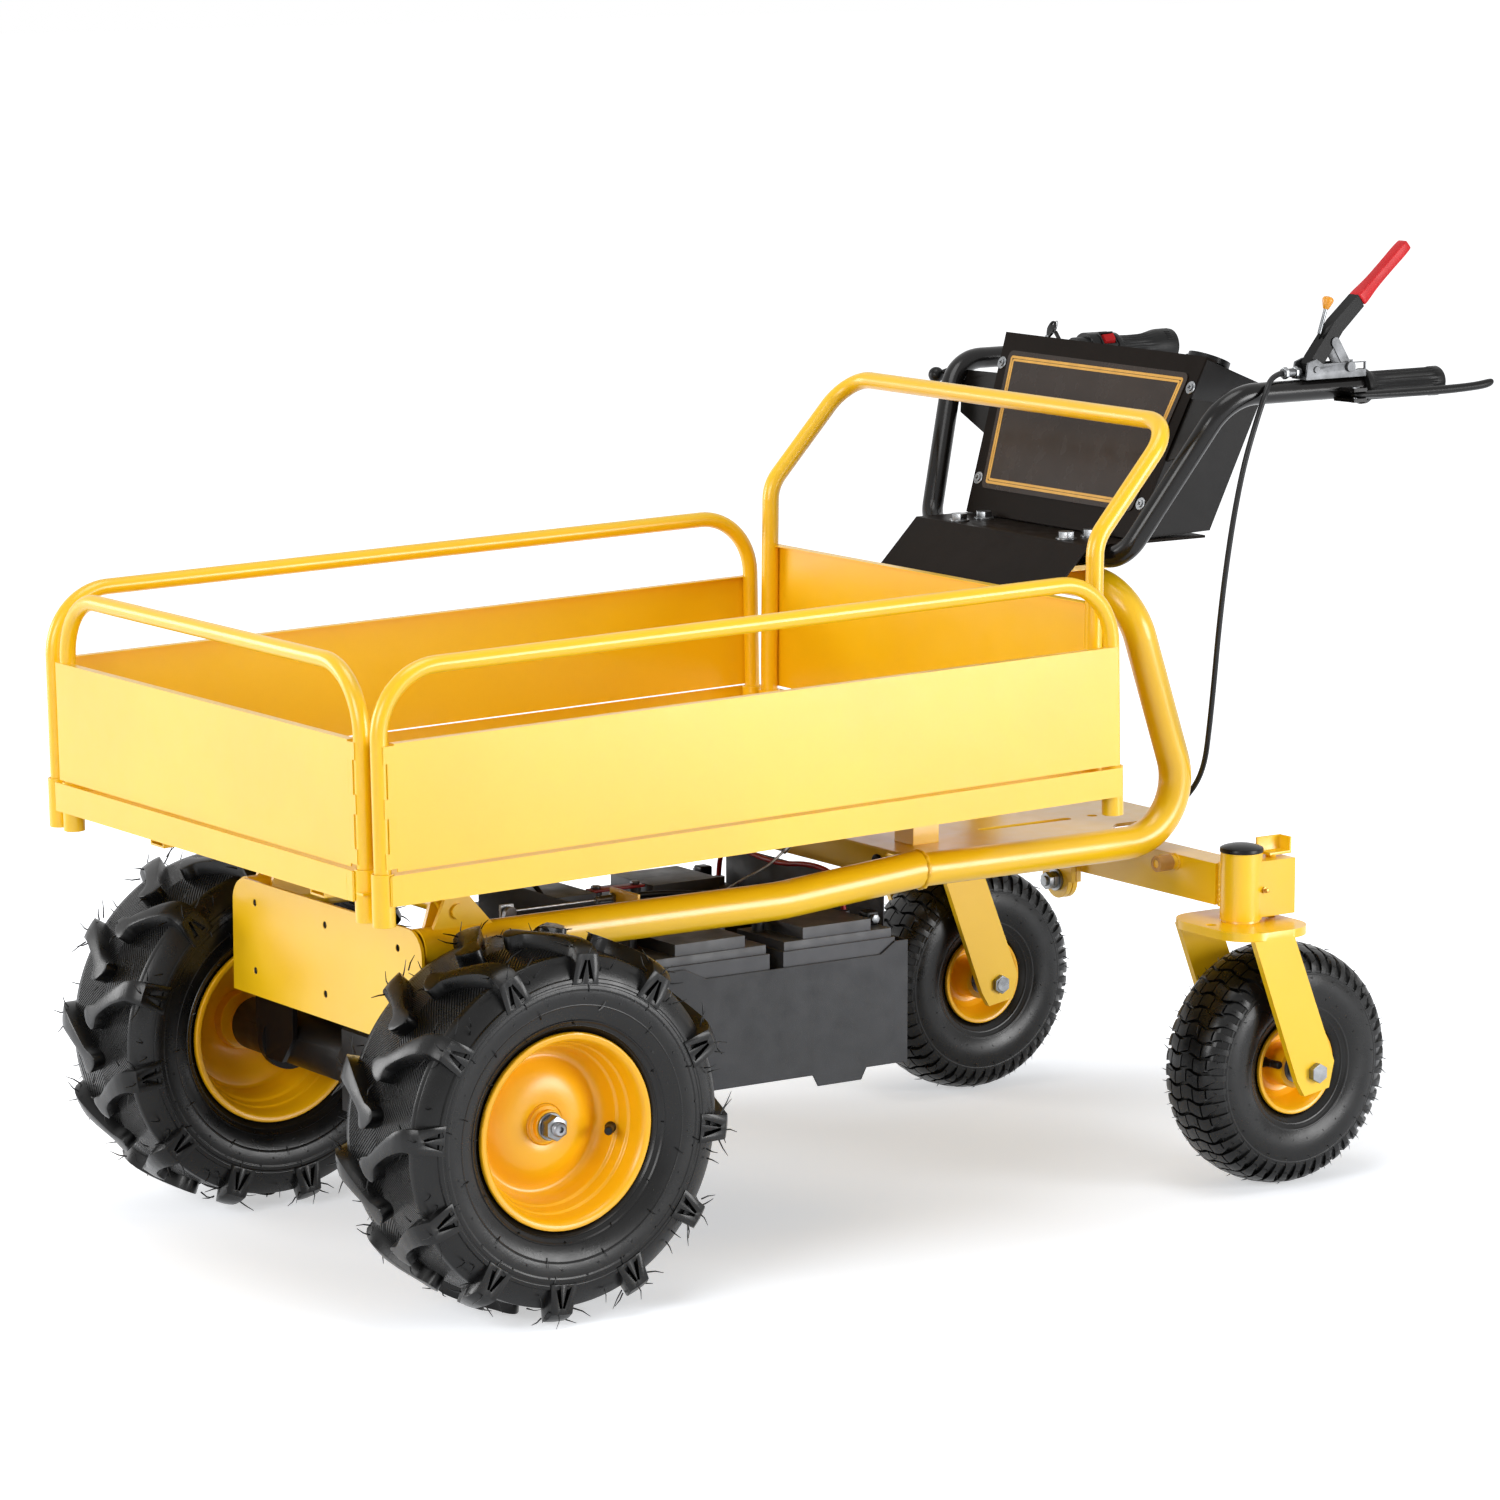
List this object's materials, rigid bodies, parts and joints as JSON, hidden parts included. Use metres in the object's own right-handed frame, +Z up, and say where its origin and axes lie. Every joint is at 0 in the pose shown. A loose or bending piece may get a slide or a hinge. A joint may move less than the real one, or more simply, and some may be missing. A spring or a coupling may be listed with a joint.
{
  "type": "electric wheelbarrow",
  "caption": "Powered platform wheelbarrow: tipping open bed with lift-out gates on a tube chassis, lugged drive wheels in front, swivel casters on a rocking rear axle, handlebar with console.",
  "frame": {"origin": "on the ground under the middle of the object's length and width", "axes": "+X from the drive wheels at the front to the handles, +Y to the operator's right, +Z up"},
  "size_m": [1.555, 0.765, 1.0707],
  "materials": {
    "yellow_paint": "glossy yellow powder coat",
    "black_paint": "satin black powder coat",
    "gloss_black": "gloss black enamel",
    "grey_paint": "fine-textured dark grey powder coat",
    "tread_rubber": "moulded black tyre rubber",
    "zinc": "bright zinc plate",
    "bearing_steel": "ground steel",
    "cast_alloy": "dark cast alloy",
    "battery_case": "grey moulded plastic",
    "lead_jacket": "red cable jacket",
    "cable_jacket": "black cable jacket",
    "wire_rope": "stranded steel wire",
    "black_plastic": "matt black plastic",
    "grip_rubber": "soft black grip rubber",
    "red_plastic": "red vinyl sleeve",
    "orange_plastic": "orange moulded plastic",
    "label_plastic": "bare brown-black panel"
  },
  "bodies": {
    "chassis": {"side_tubes": "yellow_paint", "rear_hoop": "yellow_paint", "front_plate": "yellow_paint", "hinge_rod": "yellow_paint", "deck_plate": "yellow_paint", "transaxle": "black_paint", "battery_tray": "grey_paint", "batteries": "battery_case", "battery_leads": "lead_jacket", "motor_controller": "cast_alloy", "mount_plate": "gloss_black", "handlebar": "gloss_black", "console_shell": "grey_paint", "console_face": "black_paint", "label_panel": "label_plastic", "frame_bolts": "zinc", "left_grip": "grip_rubber", "throttle_housing": "black_plastic", "parking_base": "zinc", "brake_cable": "cable_jacket", "tether_wire": "wire_rope"},
    "drive_wheel_left": {"drive_tyre_left": "tread_rubber", "drive_rim_left": "yellow_paint", "drive_hub_left": "zinc"},
    "drive_wheel_right": {"drive_tyre_right": "tread_rubber", "drive_rim_right": "yellow_paint", "drive_hub_right": "zinc"},
    "rear_axle": {"rear_beam": "yellow_paint", "head_caps": "black_plastic"},
    "caster_swivel_left": {"caster_fork_left": "yellow_paint", "caster_axle_left": "zinc"},
    "caster_swivel_right": {"caster_fork_right": "yellow_paint", "caster_axle_right": "zinc"},
    "caster_wheel_left": {"caster_tyre_left": "tread_rubber", "caster_rim_left": "yellow_paint", "caster_bearings_left": "bearing_steel"},
    "caster_wheel_right": {"caster_tyre_right": "tread_rubber", "caster_rim_right": "yellow_paint", "caster_bearings_right": "bearing_steel"},
    "swivel_lock_left": {"lock_pin_left": "yellow_paint"},
    "swivel_lock_right": {"lock_pin_right": "yellow_paint"},
    "bed": {"bed_pan": "yellow_paint", "bed_sockets": "yellow_paint", "bed_rails": "yellow_paint"},
    "front_gate": {"front_gate": "yellow_paint"},
    "left_gate": {"left_gate": "yellow_paint"},
    "right_gate": {"right_gate": "yellow_paint"},
    "rear_guard": {"rear_guard": "yellow_paint"},
    "parking_lever": {"parking_lever": "gloss_black", "parking_grip": "red_plastic"},
    "toggle_link": {"toggle_link": "zinc"},
    "release_knob": {"release_knob": "orange_plastic"},
    "brake_arm": {"brake_arm": "bearing_steel"},
    "brake_wire": {"brake_wire": "wire_rope"},
    "brake_lever": {"brake_lever": "black_plastic"},
    "throttle_grip": {"throttle_grip": "grip_rubber"},
    "rocker_switch": {"rocker_switch": "red_plastic"},
    "ignition_key": {"ignition_key": "black_plastic"},
    "charge_cap": {"charge_cap": "black_plastic"},
    "ball_lever": {"ball_lever": "black_plastic"}
  },
  "joints": [
    {"name": "drive_spin_left", "type": "hinge", "parent": "chassis", "child": "drive_wheel_left", "pos_m": [-0.5548, -0.3, 0.205], "axis": [0, 1, 0], "continuous": true},
    {"name": "drive_spin_right", "type": "hinge", "parent": "chassis", "child": "drive_wheel_right", "pos_m": [-0.5548, 0.3, 0.205], "axis": [0, 1, 0], "continuous": true},
    {"name": "axle_rock", "type": "hinge", "parent": "chassis", "child": "rear_axle", "pos_m": [0.38, 0, 0.315], "axis": [1, 0, 0], "range_deg": [-2, 2]},
    {"name": "caster_turn_left", "type": "hinge", "parent": "rear_axle", "child": "caster_swivel_left", "pos_m": [0.4, -0.298, 0.35], "axis": [0, 0, 1], "continuous": true},
    {"name": "caster_spin_left", "type": "hinge", "parent": "caster_swivel_left", "child": "caster_wheel_left", "pos_m": [0.4542, -0.298, 0.14], "axis": [0, 1, 0], "continuous": true},
    {"name": "swivel_lock_left", "type": "slide", "parent": "rear_axle", "child": "swivel_lock_left", "axis": [0, 0, 1], "range_m": [0, 0.012]},
    {"name": "caster_turn_right", "type": "hinge", "parent": "rear_axle", "child": "caster_swivel_right", "pos_m": [0.4, 0.298, 0.35], "axis": [0, 0, 1], "continuous": true},
    {"name": "caster_spin_right", "type": "hinge", "parent": "caster_swivel_right", "child": "caster_wheel_right", "pos_m": [0.4542, 0.298, 0.14], "axis": [0, 1, 0], "continuous": true},
    {"name": "swivel_lock_right", "type": "slide", "parent": "rear_axle", "child": "swivel_lock_right", "axis": [0, 0, 1], "range_m": [0, 0.012]},
    {"name": "bed_tip", "type": "hinge", "parent": "chassis", "child": "bed", "pos_m": [-0.576, 0, 0.412], "axis": [0, -1, 0], "range_deg": [0, 38], "deforming": ["tether_wire"]},
    {"name": "front_gate_lift", "type": "slide", "parent": "bed", "child": "front_gate", "axis": [-0.0227, 0, 0.9997], "range_m": [0, 0.08]},
    {"name": "left_gate_lift", "type": "slide", "parent": "bed", "child": "left_gate", "axis": [-0.0227, 0, 0.9997], "range_m": [0, 0.08]},
    {"name": "right_gate_lift", "type": "slide", "parent": "bed", "child": "right_gate", "axis": [-0.0227, 0, 0.9997], "range_m": [0, 0.08]},
    {"name": "rear_guard_lift", "type": "slide", "parent": "bed", "child": "rear_guard", "axis": [-0.0227, 0, 0.9997], "range_m": [0, 0.08]},
    {"name": "parking_swing", "type": "hinge", "parent": "chassis", "child": "parking_lever", "pos_m": [0.522, -0.258, 0.929], "axis": [0, 1, 0], "range_deg": [0, 19]},
    {"name": "toggle_turn", "type": "hinge", "parent": "parking_lever", "child": "toggle_link", "pos_m": [0.5532, -0.258, 0.9582], "axis": [0, 1, 0], "range_deg": [-47.5, 0]},
    {"name": "knob_press", "type": "slide", "parent": "parking_lever", "child": "release_knob", "axis": [0.3073, 0, 0.9516], "range_m": [-0.004, 0], "stiffness_N_per_m": 600},
    {"name": "brake_arm_turn", "type": "hinge", "parent": "chassis", "child": "brake_arm", "pos_m": [-0.5, -0.12, 0.25], "axis": [0, 1, 0], "range_deg": [0, 7.7]},
    {"name": "brake_wire_pull", "type": "slide", "parent": "chassis", "child": "brake_wire", "axis": [1, 0, 0], "range_m": [0, 0.018]},
    {"name": "brake_lever_squeeze", "type": "hinge", "parent": "chassis", "child": "brake_lever", "pos_m": [0.569, -0.284, 0.899], "axis": [0, 0, 1], "range_deg": [0, 4], "stiffness_Nm_per_rad": 6},
    {"name": "throttle_twist", "type": "hinge", "parent": "chassis", "child": "throttle_grip", "pos_m": [0.69, 0.258, 0.905], "axis": [1, 0, 0], "range_deg": [0, 65], "stiffness_Nm_per_rad": 0.4},
    {"name": "rocker_tilt", "type": "hinge", "parent": "chassis", "child": "rocker_switch", "pos_m": [0.623, 0.24268, 0.91786], "axis": [0, 0.6428, 0.766], "range_deg": [0, 12]},
    {"name": "key_turn", "type": "hinge", "parent": "chassis", "child": "ignition_key", "pos_m": [0.47016, 0.164, 0.93184], "axis": [0.3651, 0, 0.931], "range_deg": [0, 60]},
    {"name": "cap_flip", "type": "hinge", "parent": "chassis", "child": "charge_cap", "pos_m": [0.47533, -0.105, 0.93132], "axis": [-0.931, 0, 0.3651], "range_deg": [0, 110]},
    {"name": "ball_lever_swing", "type": "hinge", "parent": "chassis", "child": "ball_lever", "pos_m": [0.42, 0.279, 0.893], "axis": [1, 0, 0], "range_deg": [-15, 15]}
  ],
  "couplings": [
    {"joint": "toggle_turn", "follows": "parking_swing", "ratio": -2.465},
    {"joint": "brake_arm_turn", "follows": "parking_swing", "ratio": 0.396},
    {"joint": "brake_wire_pull", "follows": "parking_swing", "m_per_rad": 0.0531}
  ]
}
